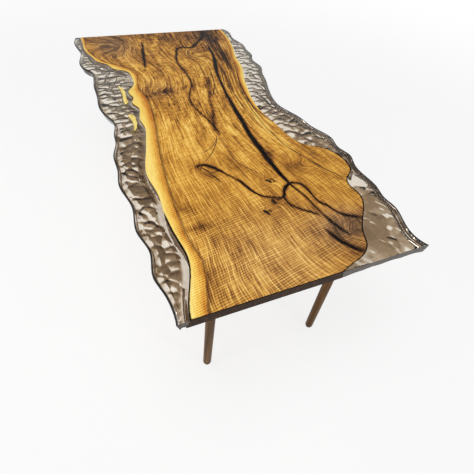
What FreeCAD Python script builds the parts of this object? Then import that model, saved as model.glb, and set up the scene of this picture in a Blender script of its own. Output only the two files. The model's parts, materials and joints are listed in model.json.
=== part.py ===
"""Live-edge dining table: a hardwood slab cast between two clear resin wings, on four turned legs.

Millimetres. X runs across the table, Y along it from the near end, Z up from the floor.
The origin lies on the floor below the middle of the top.
"""
import FreeCAD, Part
import math
import os

# Top
top_length = 2500.0
top_width = 1250.0
top_height = 760.0
top_thickness = 45.0
live_edge_lean = 12.0
rim_undercut = 14.0

# Hollows carved under the resin wings
scallop_pitch = 90.0
scallop_radius = 190.0
scallop_depth = 7.0

# Black resin in the cracks, and sapwood islands cast into the left wing
crack_width = 28.0
crack_depth = 14.0
island_depth = 30.0

# Steel channels let into the underside, with their screws, washers and threaded inserts
channel_length = 560.0
channel_width = 40.0
channel_height = 14.0
channel_wall = 3.0
channel_slot_length = 22.0
channel_screw_diameter = 8.0
channel_screw_head_diameter = 14.0
channel_screw_head_height = 4.4
channel_screw_socket = 5.0
channel_washer_diameter = 18.0
channel_washer_thickness = 1.6
channel_insert_diameter = 12.0
channel_insert_length = 13.0

# Mounting plates above the legs, with their screws
leg_end_inset = 150.0
plate_size = 100.0
plate_thickness = 5.0
plate_corner_radius = 12.0
plate_hole_spacing = 76.0
plate_boss_diameter = 20.0
plate_boss_height = 10.0
plate_screw_diameter = 5.5
plate_screw_length = 25.0
plate_screw_head_diameter = 11.0
plate_screw_head_height = 3.5
plate_screw_socket = 3.0

# Turned legs and the hanger bolts in their tops
leg_top_diameter = 48.0
leg_foot_diameter = 42.0
leg_foot_rounding = 7.0
hanger_bolt_diameter = 10.0
hanger_bolt_depth = 55.0

# Levelling glides in the feet of the legs
pad_diameter = 34.0
pad_height = 8.0
pad_chamfer = 2.0
pad_travel = 10.0
pad_gap = 0.3
stud_diameter = 10.0
stud_spare = 4.0
stud_root = 5.0
stud_clearance = 0.08
foot_insert_diameter = 14.0
foot_insert_length = 18.0

# Fits between pieces that stay put, and the overrun of cuts
fit_clearance = 0.1
overrun = 1.0

# Plan outlines: share of the width from the left, share of the length from the near end
left_rim_shares = [
    (0.028, 0.00), (0.031, 0.03), (0.023, 0.06), (0.010, 0.09), (0.025, 0.14), (0.006, 0.19),
    (0.019, 0.25), (0.000, 0.315), (0.013, 0.36), (0.017, 0.41), (0.042, 0.45), (0.047, 0.48),
    (0.064, 0.52), (0.042, 0.56), (0.026, 0.60), (0.034, 0.65), (0.036, 0.70), (0.050, 0.75),
    (0.047, 0.775), (0.019, 0.80), (0.007, 0.84), (0.031, 0.90), (0.022, 0.93), (0.031, 1.00),
]
right_rim_shares = [
    (0.959, 0.00), (0.949, 0.06), (0.971, 0.105), (0.964, 0.13), (0.976, 0.165), (0.971, 0.20),
    (0.973, 0.24), (0.993, 0.275), (0.975, 0.305), (0.985, 0.34), (0.968, 0.37), (0.942, 0.40),
    (0.930, 0.435), (0.904, 0.47), (0.877, 0.51), (0.882, 0.55), (0.908, 0.60), (0.938, 0.65),
    (0.951, 0.68), (0.978, 0.72), (0.968, 0.765), (0.993, 0.80), (0.991, 0.835), (1.000, 0.87),
    (0.975, 0.93), (0.987, 0.965), (0.966, 1.00),
]
left_live_edge_shares = [
    (0.068, 0.00), (0.089, 0.04), (0.116, 0.075), (0.130, 0.11), (0.123, 0.15), (0.116, 0.21),
    (0.123, 0.27), (0.113, 0.33), (0.128, 0.37), (0.151, 0.41), (0.171, 0.45), (0.186, 0.49),
    (0.182, 0.53), (0.198, 0.575), (0.182, 0.603), (0.196, 0.62), (0.186, 0.65), (0.216, 0.675),
    (0.236, 0.725), (0.220, 0.765), (0.166, 0.783), (0.145, 0.81), (0.104, 0.83), (0.084, 0.86),
    (0.060, 0.90), (0.059, 0.95), (0.059, 1.00),
]
right_live_edge_shares = [
    (0.587, 0.00), (0.645, 0.010), (0.708, 0.022), (0.740, 0.037), (0.759, 0.06), (0.819, 0.103),
    (0.868, 0.14), (0.874, 0.16), (0.867, 0.18), (0.881, 0.203), (0.925, 0.222), (0.945, 0.255),
    (0.932, 0.29), (0.893, 0.315), (0.828, 0.337), (0.799, 0.362), (0.784, 0.395), (0.775, 0.435),
    (0.760, 0.48), (0.762, 0.54), (0.787, 0.60), (0.821, 0.665), (0.863, 0.728), (0.877, 0.785),
    (0.903, 0.835), (0.929, 0.89), (0.944, 0.945), (0.944, 1.00),
]
left_seam_shares = [(0.30, 0.0), (0.30, 1.0)]
right_seam_shares = [(0.50, 0.0), (0.50, 1.0)]

# Cracks: the same two shares, then the share of the full crack width
river_shares = [
    (0.770, 0.886, 0.0), (0.766, 0.86, 0.3), (0.755, 0.82, 0.5), (0.738, 0.785, 0.8),
    (0.720, 0.753, 1.0), (0.700, 0.718, 0.7), (0.675, 0.655, 0.5), (0.658, 0.60, 0.6),
    (0.646, 0.545, 0.7), (0.635, 0.49, 0.9), (0.630, 0.455, 0.8), (0.620, 0.41, 0.9),
    (0.618, 0.36, 1.0), (0.617, 0.31, 0.9), (0.621, 0.265, 0.8), (0.629, 0.230, 0.5),
    (0.634, 0.214, 0.0),
]
eye_branch_shares = [
    (0.314, 0.326, 0.0), (0.336, 0.328, 0.4), (0.372, 0.315, 0.5), (0.398, 0.298, 0.4),
    (0.428, 0.272, 0.2), (0.446, 0.257, 0.4), (0.460, 0.236, 0.5), (0.475, 0.218, 0.4),
    (0.496, 0.205, 0.3), (0.528, 0.197, 0.2), (0.559, 0.191, 0.3), (0.577, 0.196, 0.4),
    (0.589, 0.208, 0.5), (0.609, 0.218, 0.6), (0.630, 0.224, 0.5), (0.650, 0.228, 0.0),
]
right_branch_shares = [
    (0.615, 0.228, 0.0), (0.634, 0.225, 0.4), (0.668, 0.218, 0.3), (0.683, 0.199, 0.4),
    (0.685, 0.177, 0.3), (0.692, 0.157, 0.4), (0.711, 0.144, 0.3), (0.728, 0.123, 0.3),
    (0.768, 0.106, 0.3), (0.795, 0.099, 0.0),
]
middle_branch_shares = [
    (0.626, 0.240, 0.0), (0.632, 0.218, 0.4), (0.643, 0.200, 0.3), (0.654, 0.178, 0.3),
    (0.661, 0.147, 0.2), (0.674, 0.111, 0.3), (0.690, 0.085, 0.2), (0.708, 0.066, 0.0),
]
side_branch_shares = [
    (0.578, 0.202, 0.0), (0.570, 0.186, 0.3), (0.573, 0.170, 0.2), (0.592, 0.156, 0.2),
    (0.626, 0.140, 0.3), (0.652, 0.128, 0.0),
]
corner_crack_shares = [
    (0.633, 0.095, 0.0), (0.640, 0.082, 0.3), (0.650, 0.065, 0.4), (0.665, 0.052, 0.5),
    (0.684, 0.037, 0.4), (0.700, 0.028, 0.0),
]
heart_crack_shares = [
    (0.805, 0.985, 0.0), (0.787, 0.955, 0.5), (0.754, 0.93, 0.5), (0.703, 0.90, 0.6),
    (0.680, 0.885, 0.8), (0.652, 0.877, 0.6), (0.615, 0.883, 0.4), (0.573, 0.875, 0.3),
    (0.550, 0.85, 0.3), (0.522, 0.80, 0.3), (0.518, 0.765, 0.2), (0.524, 0.71, 0.2),
    (0.508, 0.65, 0.2), (0.462, 0.596, 0.2), (0.453, 0.565, 0.2), (0.471, 0.50, 0.2),
    (0.485, 0.42, 0.0),
]
far_left_crack_shares = [
    (0.388, 0.94, 0.0), (0.378, 0.90, 0.3), (0.365, 0.87, 0.4), (0.351, 0.83, 0.4),
    (0.337, 0.795, 0.3), (0.323, 0.76, 0.0),
]
island_shares = {
    "sapwood_island_far": [
        (0.156, 0.685), (0.172, 0.668), (0.171, 0.640), (0.168, 0.62), (0.165, 0.603),
        (0.149, 0.597), (0.142, 0.615), (0.151, 0.65),
    ],
    "sapwood_island_near": [
        (0.147, 0.55), (0.165, 0.545), (0.169, 0.528), (0.162, 0.505), (0.149, 0.488),
        (0.136, 0.482), (0.143, 0.515),
    ],
}

# Places of the channels and their screws, and of the legs across the width
channel_place_shares = {
    "near": (0.53, 0.275),
    "middle": (0.473, 0.500),
    "far": (0.55, 0.760),
}
channel_screw_shares = (-0.42, -0.14, 0.14, 0.42)
leg_place_shares = {
    "near_left": (0.185, 0),
    "near_right": (0.689, 0),
    "far_left": (0.185, 1),
    "far_right": (0.805, 1),
}
head_chamfer_share = 0.45

underside = top_height - top_thickness
leg_top = underside - plate_thickness
leg_foot = pad_height + pad_gap
stud_length = foot_insert_length + pad_travel + stud_spare
up = FreeCAD.Vector(0, 0, 1)


def plan(share, z):
    """The point at a share of the width and of the length, at height z."""
    return FreeCAD.Vector((share[0] - 0.5) * top_width, (share[1] - 0.5) * top_length, z)


def spline(points, closed=False):
    curve = Part.BSplineCurve()
    curve.interpolate(points, PeriodicFlag=closed)
    return curve.toShape()


def edge_along(shares, lean, z):
    """A plan outline at height z, moved sideways by its lean there."""
    points = [plan(share, z) + FreeCAD.Vector(lean, 0, 0) for share in shares]
    if len(points) == 2:
        return Part.makeLine(*points)
    return spline(points)


def band(left_shares, right_shares, left_lean, right_lean):
    """The solid between two long edges, which lean outwards from the surface to the underside."""
    sections = []
    for z, fall in ((underside, 1), (top_height, 0)):
        left = edge_along(left_shares, -left_lean * fall, z)
        right = edge_along(right_shares, right_lean * fall, z)
        near = Part.makeLine(left.firstVertex().Point, right.firstVertex().Point)
        far = Part.makeLine(left.lastVertex().Point, right.lastVertex().Point)
        sections.append(Part.Wire([near, right, far, left]))
    return Part.makeLoft(sections, True, True)


def ribbon(path_shares):
    """One crack's black resin: a strip of changing width along its path, pointed at both ends."""
    floor = top_height - crack_depth
    centres = [plan(share, floor) for share in path_shares]
    sides = ([], [])
    for index, centre in enumerate(centres):
        ahead = centres[min(index + 1, len(centres) - 1)]
        behind = centres[max(index - 1, 0)]
        across = up.cross(ahead - behind).normalize()
        half = across * (path_shares[index][2] * crack_width / 2)
        sides[0].append(centre + half)
        sides[1].append(centre - half)
    outline = Part.Wire([spline(side) for side in sides])
    return Part.Face(outline).extrude(up * crack_depth)


def joined(shapes):
    return shapes[0].multiFuse(shapes[1:]).removeSplitter()


def crack_fills():
    river = [river_shares, eye_branch_shares, right_branch_shares]
    river += [middle_branch_shares, side_branch_shares]
    return {
        "crack_fill_river": joined([ribbon(path) for path in river]),
        "crack_fill_corner": ribbon(corner_crack_shares),
        "crack_fill_heart": ribbon(heart_crack_shares),
        "crack_fill_far_left": ribbon(far_left_crack_shares),
    }


def sapwood_islands():
    floor = top_height - island_depth
    islands = {}
    for name, shares in island_shares.items():
        outline = spline([plan(share, floor) for share in shares], closed=True)
        islands[name] = Part.Face(Part.Wire([outline])).extrude(up * island_depth)
    return islands


def across_at(shares, along):
    """Where an outline lies across the table at a share of the length."""
    for (x0, y0), (x1, y1) in zip(shares, shares[1:]):
        if y0 <= along <= y1:
            return x0 + (x1 - x0) * (along - y0) / (y1 - y0)
    raise ValueError("share of the length outside the outline")


def scallop():
    """The round cap that carves one hollow into an underside at zero."""
    ball = Part.makeSphere(scallop_radius, up * (scallop_depth - scallop_radius), FreeCAD.Vector(1, 0, 0))
    reach = math.sqrt(scallop_radius ** 2 - (scallop_radius - scallop_depth) ** 2)
    return ball.common(Part.makeCylinder(reach, scallop_depth + overrun, up * -overrun))


def scalloped(wing, rim_shares, live_edge_shares):
    """A wing with rows of hollows carved between its rim and the live edge, in four passes."""
    passes = {}
    cap = scallop()
    rows = round(top_length / scallop_pitch)
    for row in range(rows):
        along = (row + 0.5) / rows
        rim = across_at(rim_shares, along)
        live_edge = across_at(live_edge_shares, along)
        columns = max(1, round(abs(live_edge - rim) * top_width / scallop_pitch))
        for column in range(columns):
            across = rim + (live_edge - rim) * (column + 0.5) / columns
            stagger = (column % 2) * scallop_pitch / 2
            place = plan((across, along), underside) + FreeCAD.Vector(0, stagger, 0)
            passes.setdefault((row % 2, column % 2), []).append(cap.translated(place))
    for caps in passes.values():
        wing = wing.cut(caps)
    return wing


def resin_wings(slab_blank, islands):
    left = band(left_rim_shares, left_seam_shares, -rim_undercut, 0)
    right = band(right_seam_shares, right_rim_shares, 0, -rim_undercut)
    left = left.cut([slab_blank] + list(islands.values()))
    right = right.cut(slab_blank)
    return {
        "left_resin_wing": scalloped(left, left_rim_shares, left_live_edge_shares),
        "right_resin_wing": scalloped(right, right_rim_shares, right_live_edge_shares),
    }


def channel_profile(gap, drop):
    """A U open upwards, grown by a gap all round but not where its web seats, as a face across X."""
    side = channel_width / 2 + gap
    inner = channel_width / 2 - channel_wall - gap
    tip = channel_height + gap
    half = [(side, -drop), (side, tip), (inner, tip), (inner, channel_wall)]
    outline = half + [(-y, z) for y, z in reversed(half)]
    points = [FreeCAD.Vector(0, y, z) for y, z in outline]
    return Part.Face(Part.makePolygon(points + points[:1]))


def channel_bar(gap, drop):
    length = channel_length + 2 * gap
    bar = channel_profile(gap, drop).extrude(FreeCAD.Vector(length, 0, 0))
    return bar.translated(FreeCAD.Vector(-length / 2, 0, 0))


def screw_slot():
    """A slot through the web, which lets the wood move across the channel."""
    radius = channel_screw_diameter / 2 + fit_clearance
    straight = channel_slot_length - 2 * radius
    ends = [FreeCAD.Vector(side * straight / 2, 0, -overrun) for side in (-1, 1)]
    height = channel_wall + 2 * overrun
    slot = Part.makeBox(straight, 2 * radius, height, ends[0] - FreeCAD.Vector(0, radius, 0))
    return slot.multiFuse([Part.makeCylinder(radius, height, end) for end in ends])


def screw(diameter, length, head_diameter, head_height, socket):
    """A round-headed socket screw that points up, with the underside of its head at zero."""
    head = Part.makeCylinder(head_diameter / 2, head_height, up * -head_height)
    crown = [edge for edge in head.Edges if edge.BoundBox.ZMax < -head_height / 2]
    head = head.makeChamfer(head_height * head_chamfer_share, crown)
    corners = [
        FreeCAD.Vector(math.cos(turn) * socket / 2, math.sin(turn) * socket / 2, -head_height)
        for turn in (index * math.pi / 3 for index in range(7))
    ]
    recess = Part.Face(Part.makePolygon(corners)).extrude(up * head_height / 2)
    return head.cut(recess).fuse(Part.makeCylinder(diameter / 2, length)).removeSplitter()


def ring(outer_diameter, inner_diameter, height):
    return Part.makeCylinder(outer_diameter / 2, height).cut(
        Part.makeCylinder(inner_diameter / 2, height))


def channels():
    """The channels with their hardware, and the pockets that they need in the slab."""
    bars = {}
    screws, washers, inserts, pockets = [], [], [], []
    screw_length = channel_washer_thickness + channel_wall + channel_insert_length
    bore = channel_screw_diameter + 2 * fit_clearance
    one_screw = screw(channel_screw_diameter, screw_length, channel_screw_head_diameter,
                      channel_screw_head_height, channel_screw_socket)
    one_washer = ring(channel_washer_diameter, bore, channel_washer_thickness)
    one_insert = ring(channel_insert_diameter, bore, channel_insert_length)
    insert_hole = Part.makeCylinder(channel_insert_diameter / 2 + fit_clearance, channel_insert_length)
    for place, shares in channel_place_shares.items():
        seat = plan(shares, underside)
        bar = channel_bar(0, 0)
        pockets.append(channel_bar(fit_clearance, overrun).translated(seat))
        for screw_share in channel_screw_shares:
            spot = FreeCAD.Vector(screw_share * channel_length, 0, 0)
            bar = bar.cut(screw_slot().translated(spot))
            below = seat + spot - up * channel_washer_thickness
            above = seat + spot + up * channel_wall
            screws.append(one_screw.translated(below))
            washers.append(one_washer.translated(below))
            inserts.append(one_insert.translated(above))
            pockets.append(insert_hole.translated(above))
        bars["channel_" + place] = bar.translated(seat)
    bars["channel_screws"] = Part.makeCompound(screws)
    bars["channel_washers"] = Part.makeCompound(washers)
    bars["channel_inserts"] = Part.makeCompound(inserts)
    return bars, pockets


def leg_plate():
    """A square plate with a threaded boss on top, its underside at zero."""
    half = plate_size / 2
    plate = Part.makeBox(plate_size, plate_size, plate_thickness, FreeCAD.Vector(-half, -half, 0))
    corners = [edge for edge in plate.Edges if edge.BoundBox.ZLength > plate_thickness / 2]
    plate = plate.makeFillet(plate_corner_radius, corners)
    height = plate_thickness + plate_boss_height
    plate = plate.fuse(Part.makeCylinder(plate_boss_diameter / 2, height)).removeSplitter()
    bore = Part.makeCylinder(hanger_bolt_diameter / 2 + fit_clearance, height)
    hole_radius = plate_screw_diameter / 2 + fit_clearance
    holes = [Part.makeCylinder(hole_radius, plate_thickness, spot) for spot in plate_screw_spots()]
    return plate.cut([bore] + holes)


def plate_screw_spots():
    half = plate_hole_spacing / 2
    return [FreeCAD.Vector(x, y, 0) for x in (-half, half) for y in (-half, half)]


def leg():
    """A slim turned leg, tapered from its top to a rounded foot and bored at both ends."""
    length = leg_top - leg_foot
    blank = Part.makeCone(leg_foot_diameter / 2, leg_top_diameter / 2, length, up * leg_foot)
    foot_edge = [edge for edge in blank.Edges
                 if edge.BoundBox.ZMax < leg_foot + leg_foot_rounding
                 and edge.Length > leg_foot_diameter]
    blank = blank.makeFillet(leg_foot_rounding, foot_edge)
    bolt_hole = Part.makeCylinder(hanger_bolt_diameter / 2 + fit_clearance, hanger_bolt_depth,
                                  up * (leg_top - hanger_bolt_depth))
    insert_hole = Part.makeCylinder(foot_insert_diameter / 2 + fit_clearance, foot_insert_length,
                                    up * leg_foot)
    stud_hole = Part.makeCylinder(stud_diameter / 2 + stud_clearance, stud_length + overrun,
                                  up * leg_foot)
    return blank.cut([bolt_hole, insert_hole, stud_hole])


def glide_pad():
    """The nylon pad that stands on the floor, bored for the root of its stud."""
    pad = Part.makeCylinder(pad_diameter / 2, pad_height)
    rims = [edge for edge in pad.Edges if edge.Length > pad_diameter]
    pad = pad.makeChamfer(pad_chamfer, rims)
    return pad.cut(Part.makeCylinder(stud_diameter / 2 + fit_clearance, stud_root,
                                     up * (pad_height - stud_root)))


def glide_stud():
    return Part.makeCylinder(stud_diameter / 2, stud_root + pad_gap + stud_length,
                             up * (pad_height - stud_root))


def legs():
    """The legs with their plates, bolts and glides, and the pockets that they need in the slab."""
    pieces = {}
    plate_screws, bolts, foot_inserts, pockets = [], [], [], []
    one_screw = screw(plate_screw_diameter, plate_screw_length, plate_screw_head_diameter,
                      plate_screw_head_height, plate_screw_socket)
    one_bolt = Part.makeCylinder(hanger_bolt_diameter / 2,
                                 hanger_bolt_depth + plate_thickness + plate_boss_height,
                                 up * (leg_top - hanger_bolt_depth))
    one_insert = ring(foot_insert_diameter, stud_diameter + 2 * stud_clearance, foot_insert_length)
    boss_hole = Part.makeCylinder(plate_boss_diameter / 2 + fit_clearance,
                                  plate_boss_height + fit_clearance, up * underside)
    screw_hole = Part.makeCylinder(plate_screw_diameter / 2 + fit_clearance,
                                   plate_screw_length - plate_thickness + fit_clearance)
    for place, (across_share, end) in leg_place_shares.items():
        along = (end - 0.5) * (top_length - 2 * leg_end_inset)
        spot = FreeCAD.Vector((across_share - 0.5) * top_width, along, 0)
        pieces["leg_" + place] = leg().translated(spot)
        pieces["leg_plate_" + place] = leg_plate().translated(spot + up * leg_top)
        pieces["glide_pad_" + place] = glide_pad().translated(spot)
        pieces["glide_stud_" + place] = glide_stud().translated(spot)
        bolts.append(one_bolt.translated(spot))
        foot_inserts.append(one_insert.translated(spot + up * leg_foot))
        pockets.append(boss_hole.translated(spot))
        for corner in plate_screw_spots():
            plate_screws.append(one_screw.translated(spot + corner + up * leg_top))
            pockets.append(screw_hole.translated(spot + corner + up * underside))
    pieces["plate_screws"] = Part.makeCompound(plate_screws)
    pieces["hanger_bolts"] = Part.makeCompound(bolts)
    pieces["foot_inserts"] = Part.makeCompound(foot_inserts)
    return pieces, pockets


def table():
    slab_blank = band(left_live_edge_shares, right_live_edge_shares, live_edge_lean, live_edge_lean)
    fills = crack_fills()
    islands = sapwood_islands()
    bars, bar_pockets = channels()
    supports, leg_pockets = legs()
    slab = slab_blank.cut(list(fills.values()) + bar_pockets + leg_pockets)
    pieces = {"wood_slab": slab}
    for group in (resin_wings(slab_blank, islands), fills, islands, bars, supports):
        pieces.update(group)
    return pieces


os.makedirs("parts", exist_ok=True)
for name, shape in table().items():
    shape.exportStep("parts/" + name + ".step")
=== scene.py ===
"""Looks of a live-edge dining table: figured wood, clear carved resin and black crack fills.

Metres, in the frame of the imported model. A plan place is a pair of shares: of the width from the
left side and of the length from the near end.
"""
import bmesh
import bpy
import json
import math
import numpy as np
from mathutils import Matrix, Vector
from mathutils.geometry import delaunay_2d_cdt


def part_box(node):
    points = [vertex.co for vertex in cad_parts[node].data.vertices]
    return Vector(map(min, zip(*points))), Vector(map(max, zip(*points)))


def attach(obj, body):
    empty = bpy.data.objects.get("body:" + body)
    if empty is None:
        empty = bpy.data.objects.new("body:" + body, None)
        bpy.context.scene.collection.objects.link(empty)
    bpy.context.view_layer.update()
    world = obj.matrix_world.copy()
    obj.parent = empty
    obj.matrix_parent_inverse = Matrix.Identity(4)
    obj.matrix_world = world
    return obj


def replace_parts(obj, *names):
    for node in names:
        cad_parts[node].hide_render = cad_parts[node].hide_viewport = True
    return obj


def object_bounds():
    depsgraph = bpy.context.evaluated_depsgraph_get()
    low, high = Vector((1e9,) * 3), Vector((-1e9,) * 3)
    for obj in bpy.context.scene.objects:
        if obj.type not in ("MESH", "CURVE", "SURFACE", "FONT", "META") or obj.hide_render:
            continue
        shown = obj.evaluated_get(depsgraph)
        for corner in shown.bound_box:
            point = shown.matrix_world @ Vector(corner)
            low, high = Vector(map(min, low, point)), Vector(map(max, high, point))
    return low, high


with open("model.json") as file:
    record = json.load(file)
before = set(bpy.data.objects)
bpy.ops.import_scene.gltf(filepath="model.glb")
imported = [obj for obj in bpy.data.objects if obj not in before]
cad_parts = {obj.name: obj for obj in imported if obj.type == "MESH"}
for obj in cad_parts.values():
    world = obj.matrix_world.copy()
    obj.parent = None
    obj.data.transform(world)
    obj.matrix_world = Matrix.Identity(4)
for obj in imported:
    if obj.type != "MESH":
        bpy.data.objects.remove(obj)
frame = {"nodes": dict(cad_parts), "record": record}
cad_low, cad_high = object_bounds()

# Camera
camera_place = (-0.7587, -1.898, 1.954)
camera_right = (0.9157, -0.3910, 0.0928)
camera_up = (0.2330, 0.7047, 0.6702)
camera_back = (-0.3275, -0.5921, 0.7364)
camera_lens, camera_sensor = 29.04, 36.0

# Meshes: spacing of their points, and how near points count as one or as flush with the top
slab_spacing = 0.009
wing_row_spacing = 0.005
wing_columns, top_columns = 60, 6
rim_steps, spline_steps, smoothing_rows = 5, 8, 1001
island_grain = 0.0025
merge_distance = flush = 1e-5
cut_tolerance, tiny = 1e-7, 1e-12

# Numbers of the finishes on the faces of the slab and of the wings
wood_face, hairline_face, end_face, live_face, contour_face = range(5)
clear_face, rim_face, cut_face, wall_face = range(4)
# Reach of a live edge, how far its wall may face up or down, and how squarely an end faces along
live_edge_band, wall_facing, end_facing = 0.016, 0.7, 0.99

# Wings: form of the rim and of the wall against the wood, and depth of the carving
rim_rounding, rim_draw, rim_gap = 0.007, 0.014, 0.008
rim_falls = (0.12, 0.35, 0.6, 0.88, 1.0)
inner_falls = (0.06, 0.35, 0.7, 0.95)
live_edge_lean, bond, resin_step = 0.012, 0.0012, 0.0002
hollow_depth = 0.0145
# By side: size of the scoops and a seed, near and far; where along the far ones take over and how
# fast; how fast the carving deepens from the rim; clear levels of the rim wall and the finish below
left_hand, right_hand = -1, 1
near_scoops = {left_hand: (0.052, 0.044, 7.0), right_hand: (0.120, 0.095, 11.0)}
far_scoops = {left_hand: (0.066, 0.033, 3.0), right_hand: (0.040, 0.036, 7.0)}
far_turn = {left_hand: (0.35, 5.0), right_hand: (0.24, 6.0)}
rim_ease = {left_hand: 4.5, right_hand: 9.0}
clear_levels = {left_hand: (1, 5), right_hand: (3, 4)}
foot_finish = {left_hand: rim_face, right_hand: wall_face}
# How fast the carving deepens from the live edge, and the share of its depth at both borders
inner_ease, border_ease = 4.5, 0.15
# Scoops: bend and spread of their grid, height, and how sharply the painted shade changes between them
scoop_bend, bend_reach, scoop_spread = 0.8, 1.6, 0.35
scoop_height, shade_crispness = 0.75, 25.0
# Shares of scoops and of ripples in the height of the carving, and size of the ripples
scoop_share, ripple_share, ripple_size = 0.85, 0.25, 0.030

# Painted shade of the carving, from 0 for dark to 1 for clear: a base, then shares of scoops, slopes,
# grain
streak_base, streak_scoops, streak_slopes, streak_fine = 0.50, 0.44, 0.7, 0.34
facet_base, facet_scoops, facet_slopes, facet_fine = 0.58, 0.34, 0.3, 0.10
# Direction of the painted light over slopes, size of the fine grain, contrast added towards the far end
glint_across, glint_along, fine_size, far_contrast = 0.55, 0.84, 0.015, 0.5
# Painted highlights that brighten it: share, where they start and over how much they grow
glint_share, glint_start, glint_growth = 0.50, 0.15, 0.08
bright_share, bright_start, bright_growth = 0.40, 0.78, 0.08
end_share, end_light, end_growth = 0.12, -1.12, 0.10
shard_glint_start, shard_glint_growth = 0.73, 0.15
# Direction of the bright painted glint shards, and how much longer than wide they are
shard_glint_across, shard_glint_along, shard_glint_stretch = 0.5, 0.85, 2.6
# Painted highlight band along the live edge and painted shadow along the rim, both in the left wing;
# painted shade of rim walls
highlight_band_end, highlight_band_growth = -0.58, 0.06
highlight_band_gap, highlight_band_width, highlight_band_shade = 0.008, 0.013, 0.98
rim_shadow, rim_shadow_width, painted_wall_shade = 0.28, 0.022, 0.45

# Islands: wear of their sides, notches by size, share and seed, and how level their top is
island_wear, level_facing = 0.45, 0.8
notches = ((0.016, 0.6, 21.0), (0.007, 0.4, 23.0))

# Hairlines: clearance from borders, form of the ends, width and its raggedness
hairline_margin = 0.003
hairline_blunt, hairline_taper = 0.05, 0.4
hairline_width, raggedness, hairline_seeds = 1.2, 0.5, (41.0, 43.0)

# The grain follows smoothed live edges, and fans to the right from a place along to the near end
left_smoothing, right_smoothing = 0.30, 0.50
fan_start, fan = 0.32, 0.60
# Rays across the grain: climb to the right, strength and loss along and to the right, least strength
ray_slope, rays_along, rays_across, least_rays = 0.22, (1.25, 2.2), (1.35, 0.9), 0.5
# Dark lines of bark on the surface along the live edges: width, place along where they end, and fade
left_bark, right_bark, bark_fade = (0.008, 0.24), (0.009, 0.36), 0.10
# Charred bark on the live edge: place along where it ends, fade, and depth below the surface
bark_end, bark_turn, bark_depth = -0.50, 0.06, 0.012
# Sapwood: depth at which it is palest, least width on the left, gain on the right, step for slopes
full_sapwood, least_sapwood, right_gain, slope_step = 0.056, 0.012, 1.8, 0.005

# Resin that is looked through, and the places along between which its painted shade turns from brown to
# grey
resin_smoke, resin_density, resin_index = (0.55, 0.45, 0.36, 1.0), 8.0, 1.52
brown_end, grey_start = -0.2, 0.6

# Floor, dome and soft lamps; a lamp has a place, an aim, a size and a power
floor_half, floor_greys = 40.0, (0.90, 0.93)
floor_whiteness, floor_near, floor_far = 0.8, 1.6, 7.0
horizon_light, sky_light, horizon_height, sky_height = 1.0, 0.35, 0.25, 0.6
lamps = {
    "overhead": ((-0.8, -0.8, 4.5), (0.0, 0.0, 0.7), 3.0, 68.0),
    "left_side": ((-3.0, 1.0, 3.0), (0.0, 0.0, 0.7), 1.0, 12.0),
    "left_glint": ((-2.4, -1.2, 2.6), (-0.5, 0.0, 0.7), 0.4, 8.0),
    "front_glint": ((0.9, -2.9, 2.4), (0.4, -0.5, 0.7), 0.4, 8.0),
}

# Heartwood border on the left: place across, place along
left_heart_border = [
    (0.119, 0.0), (0.157, 0.057), (0.17, 0.096), (0.161, 0.125), (0.155, 0.161), (0.157, 0.2),
    (0.162, 0.245), (0.171, 0.302), (0.18, 0.34), (0.198, 0.4), (0.212, 0.44), (0.233, 0.5),
    (0.245, 0.54), (0.252, 0.58), (0.254, 0.62), (0.24, 0.66), (0.245, 0.69), (0.262, 0.72),
    (0.266, 0.74), (0.244, 0.772), (0.208, 0.795), (0.165, 0.812), (0.124, 0.832), (0.102, 0.856),
    (0.085, 0.88), (0.074, 0.9), (0.072, 0.94), (0.075, 0.97), (0.078, 1.0),
]
# Width of the sapwood on the right in metres, and the place along
right_sapwood = [
    (-0.02, 0.0), (-0.02, 0.4), (0.006, 0.46), (0.018, 0.5), (0.03, 0.58), (0.04, 0.68),
    (0.034, 0.76), (0.026, 0.84), (0.03, 0.92), (0.03, 1.0),
]
# Knots that the grain flows round: place, radius and lift of the rings, in metres
knots = [
    (0.653, 0.83, 0.06, 0.11), (0.345, 0.306, 0.05, 0.07), (0.556, 0.244, 0.03, 0.045),
    (0.522, 0.186, 0.025, 0.04), (0.47, 0.163, 0.022, 0.036), (0.73, 0.27, 0.06, 0.06),
    (0.72, 0.07, 0.06, 0.05), (0.215, 0.93, 0.13, -0.16), (0.33, 0.64, 0.06, 0.05),
]
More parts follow.
